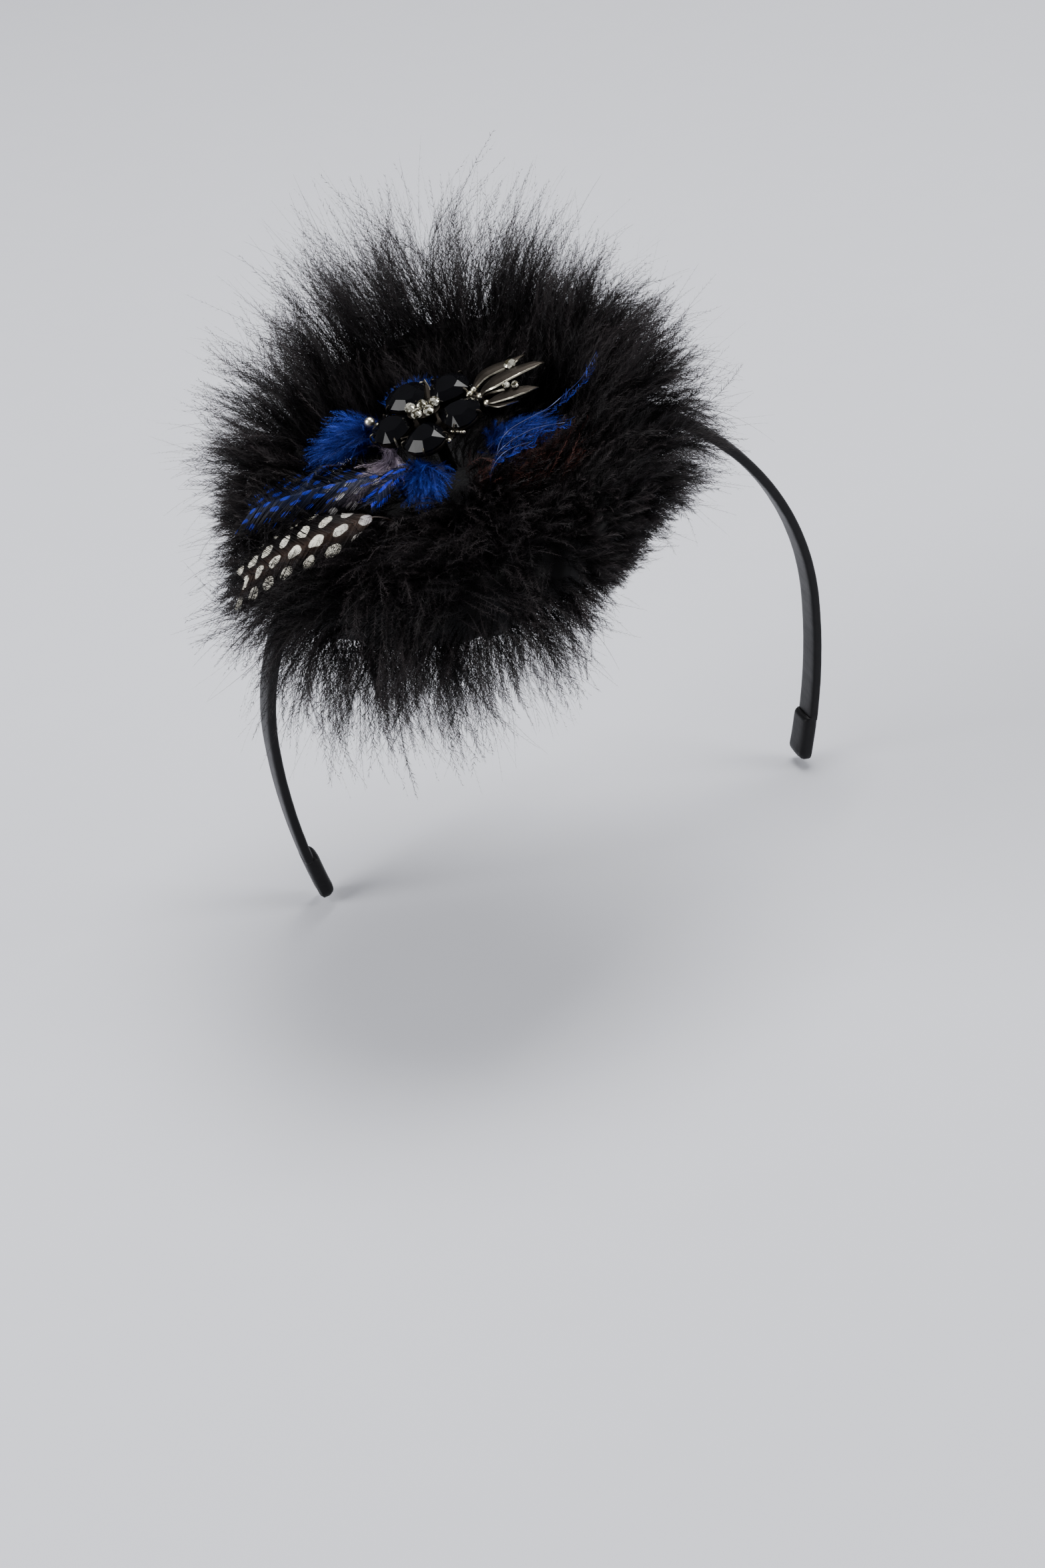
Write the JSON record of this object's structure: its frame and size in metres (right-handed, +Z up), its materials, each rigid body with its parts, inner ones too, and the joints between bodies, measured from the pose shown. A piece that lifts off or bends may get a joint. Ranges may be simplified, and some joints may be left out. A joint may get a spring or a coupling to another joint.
{
  "type": "feather fascinator",
  "caption": "Feather fascinator: a black marabou ring with a jewelled flower brooch, royal blue fluff and spotted feathers, worn to one side on a narrow satin headband.",
  "frame": {"origin": "on the inner face of the headband at the middle of its crown, where it sits on a head", "axes": "+Z up, the wearer faces -Y, and +X is the wearer's left; the headband lies in the X-Z plane"},
  "size_m": [0.1649, 0.154, 0.1704],
  "materials": {
    "black_satin": "black satin ribbon with a soft sheen",
    "black_backing": "matt black stiffened backing",
    "black_marabou": "soft black marabou down with long fine wisps",
    "blue_fluff": "soft royal blue marabou down",
    "spotted_feather": "brown-black feather with cream oval spots",
    "blue_spotted_vane": "blue-black feather with bright blue spots",
    "grey_spotted_vane": "grey feather with pale spots",
    "gunmetal": "dark warm gunmetal plating, worn bright on the edges",
    "jet": "polished opaque black cut stone",
    "crystal": "clear cut rhinestone with a foiled back"
  },
  "bodies": {
    "root": {"headband": "black_satin", "tip_sleeve_left": "black_satin", "tip_sleeve_right": "black_satin", "feather_base": "black_backing", "marabou_ring": "black_marabou", "blue_tuft_left": "blue_fluff", "blue_tuft_front": "blue_fluff", "blue_tuft_right": "blue_fluff", "guinea_feather": "spotted_feather", "blue_spotted_feather": "blue_spotted_vane", "grey_spotted_feather": "grey_spotted_vane", "curling_feather_long": "blue_spotted_vane", "curling_feather_middle": "blue_spotted_vane", "curling_feather_short": "blue_spotted_vane", "brooch_setting": "gunmetal", "jet_stone_1": "jet", "jet_stone_2": "jet", "jet_stone_3": "jet", "jet_stone_4": "jet", "jet_stone_5": "jet", "centre_crystal_1": "crystal", "centre_crystal_2": "crystal", "centre_crystal_3": "crystal", "centre_crystal_4": "crystal", "centre_crystal_5": "crystal", "spray_crystal_1": "crystal", "spray_crystal_2": "crystal", "spray_crystal_3": "crystal"}
  },
  "joints": []
}
